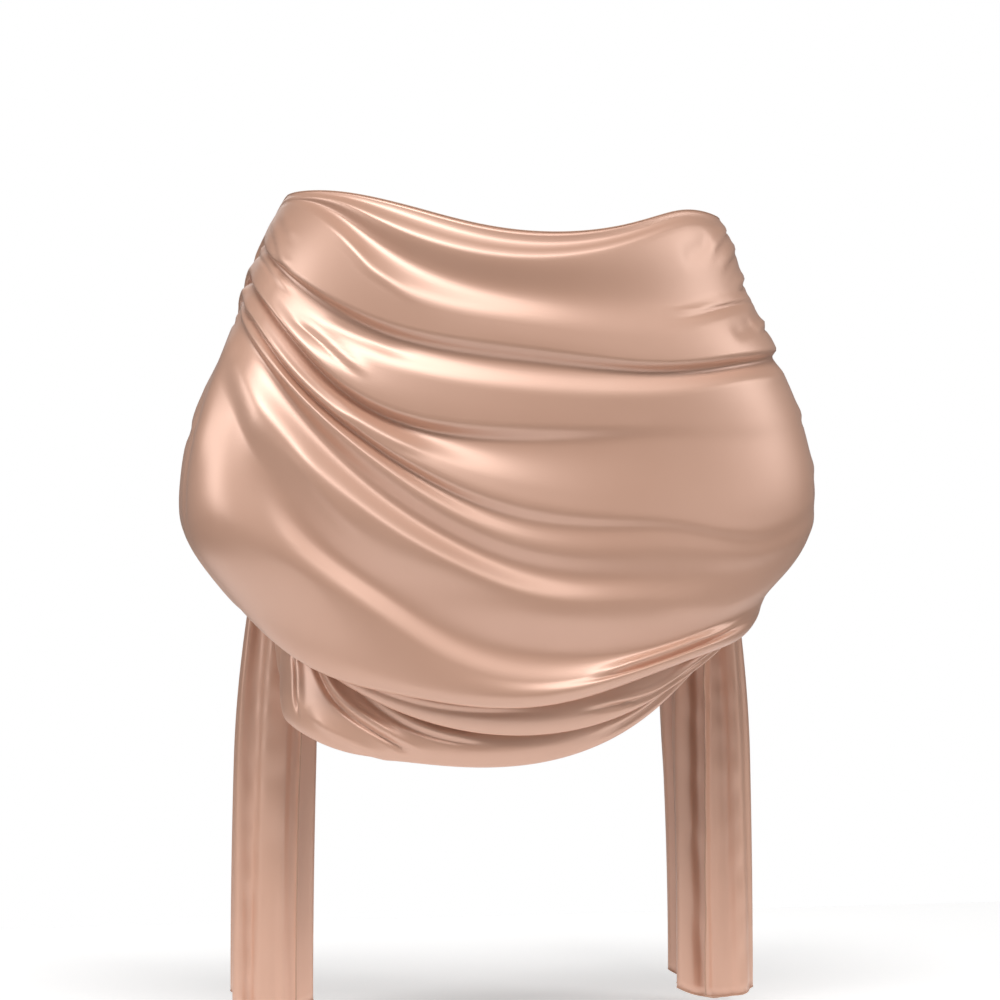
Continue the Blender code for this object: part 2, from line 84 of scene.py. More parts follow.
# Swag folds, from the top edge down. Each has a ridge, a crest near its lower side and a
# trough under it. First row: the line's height at each station, in millimetres. Second
# row: how far it stands out of the level sections there.
FOLD_COLUMNS = ("name", "heights_mm", "proud_mm")
FOLDS = (
    ("top_edge", (-18, -15, -14, -32, -39, -19, -3, 1, 0),
     (0, 0, 0, 0, 0, 0, 0, 0, 0)),
    ("edge_hollow", (-26, -23, -20, -40, -50, -28, -8, -2, -2),
     (-1, -1, -1, -1.5, -1.5, -1.5, -1, -0.5, -0.5)),
    ("crest_1", (-34, -32, -28, -50, -66, -46, -14, -5, -5),
     (1, 2, 3, 4, 5, 5, 4, 1, 0.5)),
    ("trough_1", (-90, -96, -108, -107, -100, -72, -28, -9, -9),
     (-2, -4, -5, -3, -3, -4, -3, -1, -0.5)),
    ("ridge_2", (-100, -112, -124, -142, -130, -106, -46, -16, -14),
     (0, -1, 2, 3, 4, 6, 6, 1, 0.5)),
    ("crest_2", (-145, -150, -158, -165, -152, -134, -101, -68, -44),
     (3, 5, 6, 5, 6, 6, 6, 4, 2)),
    ("trough_2", (-155, -160, -168, -176, -168, -147, -108, -74, -50),
     (-3, -6, -7, -6, -5, -7, -8, -5, -3)),
    ("ridge_3", (-170, -178, -186, -200, -198, -176, -140, -90, -62),
     (0, 0.5, 2, 2, 3, 2, -1, 0, 0)),
    ("crest_3", (-205, -212, -222, -226, -228, -212, -155, -106, -77),
     (0.5, 0.5, 1, 1.5, 5, 7, 6, 5, 3)),
    ("trough_3", (-225, -235, -245, -242, -246, -222, -161, -112, -83),
     (0, 0, 0, -0.5, -4, -7, -7, -5, -3)),
    ("ridge_4", (-270, -290, -318, -306, -290, -238, -174, -121, -91),
     (1, 1, 1, 2.5, 4, 3, 0, 1, 0)),
    ("crest_4", (-285, -305, -331, -318, -306, -250, -181, -128, -98),
     (1, 1, 1.5, 3, 6, 6, 4, 4, 3)),
    ("trough_4", (-300, -320, -342, -330, -322, -257, -187, -134, -104),
     (0, 0, 0, 0, -2, -4, -5, -3, -2)),
    ("ridge_5", (-315, -335, -354, -347, -343, -272, -194, -141, -110),
     (1, 1, 1, 1, 2, 4, 3, 2, 1)),
    ("trough_5", (-330, -350, -372, -374, -365, -296, -206, -150, -118),
     (0, 0, -1, -2, -5, -6, -8, -4, -2)),
    ("ridge_6", (-355, -380, -403, -398, -393, -328, -244, -176, -138),
     (1, 1, 1.5, 3, 7, 7, 6, 3, 1)),
    ("trough_6", (-385, -405, -426, -446, -446, -402, -300, -210, -170),
     (-1, -1.5, -3, -6, -8, -8, -8, -3, 0)),
    ("ridge_7", (-398, -418, -436, -459, -474, -440, -370, -320, -290),
     (2, 2, 2, 2, 3, 5, 7, 6, 4)),
    ("lower_swell", (-408, -428, -443, -467, -488, -476, -450, -420, -384),
     (5, 6, 7, 8, 9, 9, 8, 7, 6)),
    ("lower_border", (-420, -438, -452, -476, -499, -490, -473, -446, -412), None),
)

# The two tucks: each one's hidden upper line, its swell and its lower line
UPPER_TUCK = (
    ("hidden_edge", (-404, -420, -434, -452, -478, -468, -450, -425, -396),
     (-17, -17, -16, -16, -16, -16, -16, -16, -17)),
    ("swell", (-420, -438, -462, -497, -514, -500, -470, -436, -406),
     (-12, -11, -8, -6, -5, -6, -9, -11, -12)),
    ("lower_line", (-428, -446, -471, -508, -527, -511, -478, -444, -412), None),
)
LOWER_TUCK = (
    ("hidden_edge", (-410, -430, -450, -474, -500, -490, -472, -446, -420),
     (-28, -29, -30, -31, -31, -31, -31, -29, -27)),
    ("swell", (-428, -444, -473, -515, -543, -541, -528, -510, -490),
     (-25, -24, -21, -17, -14, -13, -10, -8, -8)),
    ("lower_line", (-436, -452, -483, -529, -557, -554, -543, -525, -507), None),
)
TUCK_TURN_DEPTH = 0.004
TUCK_SHARE = 0.93            # where across the cloth's width the tucks pass the forearm
SHARE_FOR_EACH_METRE = 1.2   # how much further across the width a line that hangs lower passes
TUCK_CLOSING = 0.15          # how much closer to the wrap the tucks lie where they end
TUCK_RISE = 0.75             # how far up into the wrap's border each tuck's ends are gathered
TUCK_RISE_START = 0.88       # where along its course that begins

# The cloth's line over each forearm and its tail, from its top edge to its lower border
TAIL_LINE_COLUMNS = (
    "width_share", "forearm_x", "forearm_y", "forearm_z", "hem_x", "hem_y", "hem_z",
    "pleat_half_depth",
)
LEFT_TAIL = (
    (0.00, 0.238, -0.046, -0.218, 0.220, -0.046, -0.814, 0.041),
    (0.33, 0.236, -0.085, -0.222, 0.218, -0.090, -0.816, 0.041),
    (0.67, 0.230, -0.130, -0.226, 0.213, -0.140, -0.812, 0.039),
    (1.00, 0.224, -0.175, -0.232, 0.206, -0.185, -0.804, 0.037),
)
RIGHT_TAIL = (
    (0.00, 0.262, -0.046, -0.222, 0.240, -0.046, -0.812, 0.036),
    (0.33, 0.260, -0.085, -0.226, 0.245, -0.090, -0.816, 0.041),
    (0.67, 0.256, -0.130, -0.230, 0.254, -0.140, -0.810, 0.041),
    (1.00, 0.250, -0.175, -0.236, 0.262, -0.185, -0.802, 0.038),
)
# Folded edges of each tail's pleats, from its top edge: place across the cloth and how
# far the edge stands out, as a share of the tail's pleat depth. They turn out and in by turns.
PLEAT_COLUMNS = ("width_share", "reach")
LEFT_PLEATS = (
    (-0.02, 0.45), (0.105, 1.00), (0.235, 1.00), (0.340, 0.86), (0.470, 0.95),
    (0.600, 1.00), (0.715, 0.80), (0.850, 0.92), (0.965, 0.85), (1.070, 0.80),
)
RIGHT_PLEATS = (
    (-0.03, 0.25), (0.120, 1.00), (0.240, 0.95), (0.375, 1.00), (0.485, 0.82),
    (0.605, 0.92), (0.740, 1.00), (0.850, 0.85), (0.975, 0.95), (1.090, 0.80),
)
FORWARD_PULL = 1.15          # how far the cloth runs straight forward before it turns in
INWARD_PULL = 0.75           # how flat it lies across the forearm

# Sizes of the cloth as it shows
SILK_WALL = 0.0007
DRAPE_ROWS = 168
DRAPE_COLUMNS = 248
BORDER_ROWS = 14             # rows of the drape in its turned-under border
TAIL_ROWS = 210
TAIL_COLUMNS = 84
TAIL_SPACING = 1.35          # power that puts a tail's columns closer near the forearm
TUCK_ROWS = 44
TUCK_BORDER_ROWS = 10
TUCK_COLUMNS = 300
TUCK_INSIDE_ROW = 1.6        # past this row a tuck has turned up inside
MIDDLE_ROW = 8.0             # the row along which columns are spaced
SPACING_SAMPLES = 241
HEM_RADIUS = 0.0008
HEM_SIDES = 8
HEM_ASIDE = (0.31, 0.87, 0.38)   # a direction that no hem runs along
CREASE_SAMPLES = 60
CREASE_REACH = 3.2           # widths beyond which a crease doesn't show
CREASE_TAPER = 0.30          # share of a crease's length over which each end fades
RIDGE_OFFSET = 0.45          # of a crease's ridge above its line, in half widths
GROOVE_OFFSET = 0.50         # of its groove below the line
GROOVE_WIDTH = 0.48
SEED = 7

# Creases on the back and arms, besides the swags. Each line is given by points (girth,
# height): girth -1 is the right outer arm, 0 the centre back, 1 the left outer arm, and
# past 1 the cloth runs forward to the forearm. Half width and sizes are in millimetres:
# proud is the soft ridge on the line, undercut the narrower groove just below it.
CREASE_COLUMNS = ("line", "half_width_mm", "proud_mm", "undercut_mm")
DRAPE_CREASES = (
    # left arm, from the top down
    (
        ((0.20, -0.122), (0.30, -0.096), (0.37, -0.081), (0.42, -0.065), (0.50, -0.044), (0.60, -0.028)),
        6, 1.2, 0.5,
    ),
    (((0.64, -0.076), (0.72, -0.070), (0.82, -0.047), (1.02, -0.026)), 4.5, 1.6, 1.8),
    (((0.60, -0.108), (0.74, -0.087), (0.88, -0.068), (1.10, -0.055)), 4.5, 1.6, 1.4),
    (((0.30, -0.186), (0.38, -0.166), (0.48, -0.142), (0.60, -0.122)), 6, 1.6, 1.0),
    (((0.20, -0.168), (0.30, -0.153), (0.40, -0.140), (0.50, -0.124)), 6, -1.4, 0.0),
    (((0.16, -0.262), (0.24, -0.246), (0.31, -0.229), (0.38, -0.212)), 6, 1.4, 1.0),
    (((0.30, -0.345), (0.36, -0.312), (0.42, -0.284), (0.50, -0.246)), 9, 1.8, 1.0),
    (((1.00, -0.062), (1.12, -0.056), (1.32, -0.052)), 6, 2.6, 2.4),
    (((0.98, -0.086), (1.12, -0.080), (1.34, -0.078)), 6, 2.6, 2.4),
    (((0.98, -0.108), (1.12, -0.102), (1.36, -0.100)), 6, 2.6, 2.4),
    (((1.00, -0.130), (1.14, -0.126), (1.38, -0.124)), 7, 2.4, 2.0),
    (((0.66, -0.052), (0.78, -0.035), (0.92, -0.018)), 4.5, 1.2, 1.2),
    (((0.80, -0.128), (0.92, -0.112), (1.08, -0.094)), 5, 1.2, 1.4),
    # left side of the back and elbow
    (((0.90, -0.130), (0.86, -0.200), (0.83, -0.280)), 15, 3.0, 0.0),
    (((0.62, -0.190), (0.57, -0.250), (0.50, -0.320), (0.40, -0.400)), 16, 3.0, 0.0),
    (((1.02, -0.170), (0.99, -0.230), (1.00, -0.290), (0.97, -0.350)), 10, 2.2, 1.8),
    (((1.16, -0.160), (1.12, -0.220), (1.13, -0.290), (1.10, -0.350)), 11, 2.4, 2.0),
    # right arm, from the top down
    (((-1.10, -0.022), (-0.75, -0.035), (-0.54, -0.065)), 5, 2.3, 2.5),
    (((-1.04, -0.046), (-0.80, -0.052), (-0.58, -0.078)), 5, 2.0, 2.0),
    (((-0.62, -0.044), (-0.52, -0.056), (-0.42, -0.068)), 9, -2.0, 0.0),
    (((-1.20, -0.070), (-0.92, -0.078), (-0.66, -0.094)), 6, 2.6, 2.8),
    (
        ((-1.05, -0.098), (-0.72, -0.102), (-0.52, -0.110), (-0.39, -0.118), (-0.27, -0.121)),
        5, 2.0, 2.2,
    ),
    (((-1.15, -0.120), (-0.90, -0.124), (-0.66, -0.134)), 5, 2.3, 2.5),
    (((-0.72, -0.126), (-0.63, -0.133), (-0.52, -0.140)), 9, -2.2, 0.0),
    (((-1.20, -0.205), (-0.98, -0.212), (-0.82, -0.222)), 8, 1.6, 1.6),
    (((-1.25, -0.250), (-1.02, -0.262), (-0.86, -0.280)), 9, 1.6, 1.6),
    # a broad hollow low on the back
    (((-0.45, -0.395), (-0.20, -0.405), (0.06, -0.400), (0.32, -0.368)), 20, -3.5, 0.0),
    # hooked fold at the right of the lower border
    (
        ((-0.74, -0.416), (-0.50, -0.436), (-0.36, -0.449), (-0.25, -0.460), (-0.11, -0.474)),
        5, 2.6, 6.0,
    ),
)
UPPER_TUCK_CREASES = (
    (
        ((-0.78, -0.430), (-0.50, -0.462), (-0.36, -0.484), (-0.24, -0.495), (-0.11, -0.503)),
        5, 3.0, 5.5,
    ),
    (((-0.10, -0.500), (0.12, -0.500), (0.34, -0.484), (0.60, -0.450)), 7, 1.8, 1.2),
)
LOWER_TUCK_CREASES = (
    # right end, with the hooked fold's tip near the middle
    (((-0.70, -0.444), (-0.45, -0.480), (-0.30, -0.508), (-0.13, -0.534)), 5, 2.6, 4.6),
    # a narrow fold down the left end, then the lens-shaped one across it
    (((0.72, -0.512), (0.77, -0.488), (0.82, -0.464), (0.90, -0.438)), 5, 3.6, 5.5),
    (
        ((0.22, -0.548), (0.32, -0.532), (0.42, -0.515), (0.56, -0.490), (0.68, -0.460), (0.76, -0.436)),
        6, 4.0, 5.0,
    ),
    (((0.05, -0.536), (0.22, -0.524), (0.38, -0.498), (0.50, -0.474)), 6, 2.4, 3.0),
    (((0.30, -0.556), (0.50, -0.534), (0.70, -0.506)), 6, 2.0, 1.2),
)
# Creases of the tails, placed by course, where 2 is the forearm and 3 the hem, and by the
# share of the cloth's width, written below zero
LEFT_TAIL_CREASES = (
    (((2.05, -0.022), (2.40, -0.020), (2.70, -0.026), (3.00, -0.022)), 8.5, 4.9, 2.3),
    (((2.02, -0.056), (2.35, -0.060), (2.70, -0.054), (3.00, -0.058)), 9.5, -4.6, 0.0),
    (((2.10, -0.082), (2.50, -0.084), (3.00, -0.078)), 7.5, 3.8, 2.9),
    (((2.05, -0.150), (2.45, -0.155), (3.00, -0.148)), 8.5, 4.1, 2.9),
    (((2.05, -0.185), (2.50, -0.180), (3.00, -0.190)), 8.5, -3.8, 0.0),
    (((2.05, -0.280), (2.50, -0.285), (3.00, -0.278)), 8.5, 3.8, 2.3),
    (((2.05, -0.400), (2.50, -0.395), (3.00, -0.405)), 9.5, 4.1, 2.3),
    (((2.05, -0.530), (2.50, -0.535), (3.00, -0.528)), 9.5, -4.1, 0.0),
    (((2.05, -0.660), (2.50, -0.655), (3.00, -0.662)), 9.5, 4.1, 2.3),
    (((2.05, -0.790), (2.50, -0.785), (3.00, -0.792)), 8.5, 3.8, 2.6),
    (((2.05, -0.910), (2.50, -0.905), (3.00, -0.912)), 8.5, -3.8, 0.0),
)
RIGHT_TAIL_CREASES = (
    (((2.05, -0.030), (2.40, -0.034), (2.70, -0.028), (3.00, -0.032)), 8.5, 4.6, 2.9),
    (((2.02, -0.066), (2.35, -0.062), (2.70, -0.068), (3.00, -0.064)), 9.5, -4.9, 0.0),
    (((2.10, -0.094), (2.50, -0.090), (3.00, -0.096)), 7.5, 3.8, 2.3),
    (((2.05, -0.160), (2.45, -0.165), (3.00, -0.158)), 8.5, 4.3, 3.2),
    (((2.05, -0.200), (2.50, -0.205), (3.00, -0.198)), 8.5, -3.8, 0.0),
    (((2.05, -0.300), (2.50, -0.295), (3.00, -0.304)), 8.5, 3.8, 2.3),
    (((2.05, -0.430), (2.50, -0.435), (3.00, -0.428)), 9.5, 4.1, 2.3),
    (((2.05, -0.545), (2.50, -0.540), (3.00, -0.548)), 9.5, -4.1, 0.0),
    (((2.05, -0.670), (2.50, -0.675), (3.00, -0.668)), 9.5, 4.1, 2.3),
    (((2.05, -0.800), (2.50, -0.795), (3.00, -0.802)), 8.5, 3.8, 2.6),
    (((2.05, -0.920), (2.50, -0.915), (3.00, -0.922)), 8.5, -3.8, 0.0),
)
# Faint creases by chance: how many, where, and how large they may be
CHANCE_COLUMNS = (
    "count", "girth_from", "girth_to", "height_from", "height_to", "rise_at_left", "half_width_mm",
    "proud_mm",
)
CHANCE_CREASES = (
    (10, 0.85, 1.45, -0.170, -0.010, 0.03, 5.0, 0.45),
    (14, -1.45, -0.70, -0.180, -0.020, -0.02, 5.0, 0.9),
    (10, 1.00, 1.90, -0.340, -0.180, 0.02, 6.0, 0.9),
    (10, -1.90, -1.00, -0.340, -0.180, -0.02, 6.0, 0.9),
)
CHANCE_HALF_LENGTH = 0.14
CHANCE_LENGTHS = (0.5, 1.4)  # times the half length
CHANCE_TILT = 0.03
CHANCE_BOW = 0.004
CHANCE_SIZES = (0.4, 1.3)    # times the table's size
CHANCE_WIDTHS = (0.8, 1.5)   # times the table's width
CHANCE_UNDERCUT = 0.5        # of the ridge's size

# The satin: constants of its shader, then its two tints
SATIN = {
    "Metallic": 0.22,
    "Roughness": 0.40,
    "IOR": 1.8,
    "Anisotropic": 0.5,
    "Coat Weight": 0.4,
    "Coat Roughness": 0.42,
    "Coat IOR": 1.6,
    "Sheen Weight": 0.1,
    "Sheen Roughness": 0.4,
}
SATIN_COLOUR = (0.69, 0.39, 0.27, 1)
SATIN_DARK = (0.645, 0.362, 0.252, 1)
SATIN_LIGHT = (0.715, 0.423, 0.306, 1)
TINT_SCALE = 9.0
THREAD_SCALE = (60.0, 900.0, 1.0)
THREAD_BUMP = 0.10
THREAD_DEPTH = 0.0003
# The rolled hem is the satin, but it is coloured darker: painted shade along the cloth's edges
HEM_SHADED_COLOUR = (0.50, 0.29, 0.20, 1)

# The studio
LIGHT_COLUMNS = ("name", "place", "size", "power")
LIGHTS = (
    ("key", (0.3, 2.2, 2.7), (1.9, 0.9), 89),
    ("side_left", (2.6, 0.9, 0.9), (1.1, 1.6), 30),
    ("side_right", (-2.5, 1.2, 0.9), (1.0, 1.6), 24),
    ("front_fill", (0.2, -2.6, 1.2), (1.8, 1.4), 9),
)
LIGHT_AIM = (0.0, 0.05, -0.3)
FILL_COLOUR = (1.0, 0.98, 0.96, 1)
FILL_STRENGTH = 0.12
FLOOR_HALF = 0.9
FLOOR_LEVEL = -0.835
FLOOR_GREY = 0.9
FLOOR_ROUGHNESS = 0.9
FLOOR_GLOW = 0.42
CAMERA_TURN = math.radians(12)
CAMERA_DISTANCE = 3.2
CAMERA_LEVEL = -0.30
CAMERA_LENS = 115.2
CAMERA_SENSOR = 36.0

def spline_through(knots, values, at):
    """Natural cubic spline through values at rising knots, read at the places in at."""
    knots = np.asarray(knots, float)
    values = np.asarray(values, float)
    count = len(knots)
    gaps = np.diff(knots)
    system = np.zeros((count, count))
    right = np.zeros_like(values)
    system[0, 0] = system[-1, -1] = 1.0
    for i in range(1, count - 1):
        system[i, i - 1:i + 2] = gaps[i - 1], 2 * (gaps[i - 1] + gaps[i]), gaps[i]
        rise_after = (values[i + 1] - values[i]) / gaps[i]
        rise_before = (values[i] - values[i - 1]) / gaps[i - 1]
        right[i] = 6 * (rise_after - rise_before)
    bend = np.linalg.solve(system, right.reshape(count, -1)).reshape(values.shape)
    at = np.asarray(at, float)
    i = np.clip(np.searchsorted(knots, at, side="right") - 1, 0, count - 2)
    widen = (...,) + (None,) * (values.ndim - 1)
    gap = gaps[i][widen]
    t = (at - knots[i])[widen]
    slope = (values[i + 1] - values[i]) / gap - gap * (2 * bend[i] + bend[i + 1]) / 6
    twist = (bend[i + 1] - bend[i]) / (6 * gap)
    return values[i] + slope * t + bend[i] / 2 * t ** 2 + twist * t ** 3


def ease(t):
    """0 to 1 with no slope at either end."""
    return (1 - np.cos(np.pi * np.clip(t, 0, 1))) / 2


def level_point(girth, height):
    """The worn form at a share of the girth and a height."""
    rising = np.array(SECTIONS[::-1])
    section = spline_through(rising[:, 0], rising[:, 1:], height)
    half_width, back, side = section[..., 0], section[..., 1], section[..., 2]
    x = np.sign(girth) * half_width * (1 - (1 - np.abs(girth)) ** 2)
    y = side + (back - side) * (1 - girth ** 2)
    return np.stack([x, y, height], -1)


def fold_lines(lines, girth):
    """Each line's height and proudness round the girth, lines down the first axis."""
    heights = spline_through(STATIONS, np.array([line[1] for line in lines]).T * MM, girth)
    proud = spline_through(STATIONS, np.array([line[2] for line in lines[:-1]]).T * MM, girth)
    return np.moveaxis(heights, -1, 0), np.moveaxis(proud, -1, 0)


def line_slopes(heights, proud):
    """The cloth's slope at each line: none at a crest or trough, a harmonic mean elsewhere."""
    rise = np.diff(proud, axis=0) / np.diff(heights, axis=0)
    above, below = rise[:-1], rise[1:]
    same_way = above * below > 0
    total = np.where(same_way, above + below, 1.0)
    inner = np.where(same_way, 2 * above * below / total, 0.0)
    return np.concatenate([rise[:1], inner, np.zeros_like(rise[:1])])


def folded_profile(lines, girth, row, turn_rows, turn_depth):
    """Height and proudness of the cloth at a girth and a row counted from the first line."""
    heights, proud = fold_lines(lines, girth)
    last = len(lines) - 2
    slopes = line_slopes(heights[:-1], proud)
    k = np.clip(np.floor(row).astype(int), 0, last - 1)
    t = np.clip(row - k, 0, 1)

    def at(table, line):
        return np.take_along_axis(table, line[None], 0)[0]

    step = at(heights, k + 1) - at(heights, k)
    height = at(heights, k) + step * t
    out = (
        (1 + 2 * t) * (1 - t) ** 2 * at(proud, k)
        + t * (1 - t) ** 2 * step * at(slopes, k)
        + t ** 2 * (3 - 2 * t) * at(proud, k + 1)
        + t ** 2 * (t - 1) * step * at(slopes, k + 1)
    )
    turn = np.clip((row - last) / turn_rows, 0, 1) * TURN_ANGLE
    height = height - (heights[last] - heights[-1]) * np.sin(turn)
    out = out - turn_depth * (1 - np.cos(turn))
    return height, out


LAST_ROW = len(FOLDS) - 2 + TURN_ROWS


def drape_point(side, course, row):
    """The smooth back and outer arm, before its folds stand out."""
    girth = side * np.clip(course, 0, COURSE_AT_ARM)
    height, _ = folded_profile(FOLDS, girth, row, TURN_ROWS, TURN_DEPTH)
    return level_point(girth, height)


def tail_table(side):
    return np.array(LEFT_TAIL if side > 0 else RIGHT_TAIL)


def forearm_point(side, share):
    """The cloth's line over the forearm, at a share of the cloth's width."""
    table = tail_table(side)
    x, y, z = np.moveaxis(spline_through(table[:, 0], table[:, 1:4], share), -1, 0)
    return np.stack([side * x, y, z], -1)


def forward_curve(side, course, arm, before, forearm):
    """A Hermite curve: off the outer arm as the cloth leaves it, then inward over the forearm."""
    away = arm - before
    away = away / np.linalg.norm(away, axis=-1, keepdims=True)
    reach = np.linalg.norm(forearm - arm, axis=-1, keepdims=True)
    inward = np.array([-side, 0.0, 0.0])
    t = (course - COURSE_AT_ARM)[..., None]
    return (
        (1 + 2 * t) * (1 - t) ** 2 * arm
        + t * (1 - t) ** 2 * away * reach * FORWARD_PULL
        + t ** 2 * (3 - 2 * t) * forearm
        + t ** 2 * (t - 1) * inward * reach * INWARD_PULL
    )


def forward_point(side, course, row):
    """From the outer arm forward and over the forearm, one curve to each row."""
    arm = drape_point(side, np.full_like(course, COURSE_AT_ARM), row)
    before = drape_point(side, np.full_like(course, COURSE_AT_ARM - COURSE_STEP), row)
    return forward_curve(side, course, arm, before, forearm_point(side, row / LAST_ROW))


def tail_point(side, course, row):
    """A quarter turn off the forearm, then the fall to the hem."""
    table = tail_table(side)
    start = forearm_point(side, row / LAST_ROW)
    hem = spline_through(table[:, 0], table[:, 4:7], row / LAST_ROW) * np.array([side, 1.0, 1.0])
    turned = start + np.array([-side * FALL_RADIUS, 0.0, -FALL_RADIUS])
    fall = np.linalg.norm(hem - turned, axis=-1)
    quarter = FALL_RADIUS * np.pi / 2
    run = (course - COURSE_AT_FOREARM) * (quarter + fall)
    angle = np.clip(run / FALL_RADIUS, 0, np.pi / 2)
    bent = start + FALL_RADIUS * np.stack(
        [-side * np.sin(angle), np.zeros_like(angle), np.cos(angle) - 1], -1
    )
    share = np.clip((run - quarter) / fall, 0, 1)[..., None]
    drift = (hem - turned) * np.array([1.0, 1.0, 0.0])
    drop = (hem - turned) * np.array([0.0, 0.0, 1.0])
    return bent + drop * share + drift * share * (2 - share)


def smooth_point(side, course, row):
    """The stole's middle surface on one side, with no folds or pleats."""
    drape = drape_point(side, course, row)
    forward = forward_point(side, np.clip(course, COURSE_AT_ARM, COURSE_AT_FOREARM), row)
    tail = tail_point(side, np.clip(course, COURSE_AT_FOREARM, COURSE_AT_HEM), row)
    wide = course[..., None]
    beyond_arm = np.where(wide <= COURSE_AT_FOREARM, forward, tail)
    return np.where(wide <= COURSE_AT_ARM, drape, beyond_arm)


def level_normal(girth, height):
    """The outward direction of a level section, which is what its folds stand out along."""
    step = 0.001
    before = level_point(girth - step, height)
    along = level_point(girth + step, height) - before
    normal = np.stack([-along[..., 1], along[..., 0], np.zeros_like(girth)], -1)
    return normal / np.linalg.norm(normal, axis=-1, keepdims=True)


def sheet_normal(side, course, row):
    """Numerical normal of the smooth surface past the outer arm, on the cloth's face side."""
    ahead = smooth_point(side, course + COURSE_STEP, row)
    along = ahead - smooth_point(side, course - COURSE_STEP, row)
    below = np.clip(row + COURSE_STEP, 2 * COURSE_STEP, LAST_ROW - TURN_ROWS)
    above = below - 2 * COURSE_STEP
    down = smooth_point(side, course, below) - smooth_point(side, course, above)
    normal = side * np.cross(along, down)
    return normal / np.linalg.norm(normal, axis=-1, keepdims=True)


def pleat_wave(side, share):
    """How far a tail's pleats stand out, from -1 to 1, and the spread that rounds their edges."""
    edges = np.array(LEFT_PLEATS if side > 0 else RIGHT_PLEATS)
    turns = np.pi * (np.arange(len(edges)) - 0.5)
    phase = spline_through(edges[:, 0], turns, share)
    reach = spline_through(edges[:, 0], edges[:, 1], share)
    return reach * np.sin(phase), np.sin(2 * phase)


def cloth_point(side, course, row):
    """A point of the stole: swag folds on the back and arms, pleats from the forearm on."""
    course, row = np.broadcast_arrays(np.asarray(course, float), np.asarray(row, float))
    point = smooth_point(side, course, row)
    girth = side * np.clip(course, 0, COURSE_AT_ARM)
    height, proud = folded_profile(FOLDS, girth, row, TURN_ROWS, TURN_DEPTH)
    fade = 1 - ease(course - COURSE_AT_ARM)
    flat = level_normal(np.clip(girth, -0.998, 0.998), height)
    round_arm = np.clip(course - COURSE_AT_ARM, 0, 1)[..., None]
    turned = sheet_normal(side, np.clip(course, COURSE_AT_ARM, COURSE_AT_HEM - 0.02), row)
    direction = np.where(round_arm > 0, turned, flat)
    table = tail_table(side)
    at_hem = spline_through(table[:, 0], table[:, 7], row / LAST_ROW)
    gather = ease((course - GATHER_START) / (COURSE_AT_FOREARM - GATHER_START))
    open_out = ease((course - OPENING_START) / OPENING_LENGTH)
    depth = SADDLE_PLEAT * gather + (at_hem - SADDLE_PLEAT) * open_out
    wave, spread = pleat_wave(side, row / LAST_ROW)
    # The cloth's face looks up on the forearm and in towards the body on the tail.
    point = point + direction * (proud * fade - depth * wave)[..., None]
    point[..., 1] += PLEAT_ROUNDING * open_out * spread
    point[..., 2] += HEM_LIFT * wave ** 2 * np.clip(course - COURSE_AT_FOREARM, 0, 1) ** 2
    return point


def gathered_profile(lines, girth, course, row):
    """A tuck's folded profile, drawn up to the swags' lower border towards its ends."""
    height, proud = folded_profile(lines, girth, row, 1, TUCK_TURN_DEPTH)
    rise = TUCK_RISE * ease((course - TUCK_RISE_START) / (TUCK_COURSE - TUCK_RISE_START))
    height = height + rise * (fold_lines(FOLDS, girth)[0][-1] - height)
    proud = proud + rise * (fold_lines(lines, girth)[1][0] - proud)
    return height, proud


def tuck_surface(lines, side, course, row):
    """One tuck's smooth surface: round the back, then forward with the lower border."""
    girth = side * np.clip(course, 0, COURSE_AT_ARM)
    before_arm = np.full_like(course, side * (COURSE_AT_ARM - COURSE_STEP))
    height, proud = gathered_profile(lines, girth, course, row)
    before_height, _ = gathered_profile(lines, before_arm, course, row)
    arm = level_point(girth, height)
    before = level_point(before_arm, before_height)
    below = fold_lines(FOLDS, girth)[0][-2] - height
    forearm = forearm_point(side, TUCK_SHARE + below * SHARE_FOR_EACH_METRE)
    past_arm = np.clip(course, COURSE_AT_ARM, COURSE_AT_FOREARM)
    forward = forward_curve(side, past_arm, arm, before, forearm)
    return np.where(course[..., None] <= COURSE_AT_ARM, arm, forward), girth, height, proud


def tuck_point(lines, side, course, row):
    """A point of one tuck, which lies inside the swags' lower border."""
    course, row = np.broadcast_arrays(np.asarray(course, float), np.asarray(row, float))
    point, girth, height, proud = tuck_surface(lines, side, course, row)
    forward = np.clip(course, COURSE_AT_ARM, COURSE_AT_FOREARM)
    under = sheet_normal(side, forward, np.full_like(row, LAST_ROW - TURN_ROWS))
    flat = level_normal(np.clip(girth, -0.998, 0.998), height)
    direction = np.where(course[..., None] > COURSE_AT_ARM, under, flat)
    closer = 1 - TUCK_CLOSING * ease((course - COURSE_AT_ARM) / (TUCK_COURSE - COURSE_AT_ARM))
    return point + direction * (proud * closer)[..., None]


def spread(lengths, count):
    """Places along a run that share its length evenly, as positions on its own scale."""
    return np.interp(np.linspace(0, lengths[-1], count), lengths, np.arange(len(lengths)))


def drape_row_places():
    """Rows of the back and arms, evenly apart in height, then round the turned border."""
    last = LAST_ROW - TURN_ROWS
    heights = np.array([line[1] for line in FOLDS[:-1]]) * MM
    falls = np.abs(np.diff(heights, axis=0)).mean(1)
    reach = np.concatenate([[0.0], np.cumsum(falls)])
    rows = spread(reach, DRAPE_ROWS - BORDER_ROWS)
    turn = np.linspace(last, LAST_ROW, BORDER_ROWS + 1)[1:]
    return np.concatenate([rows, turn])


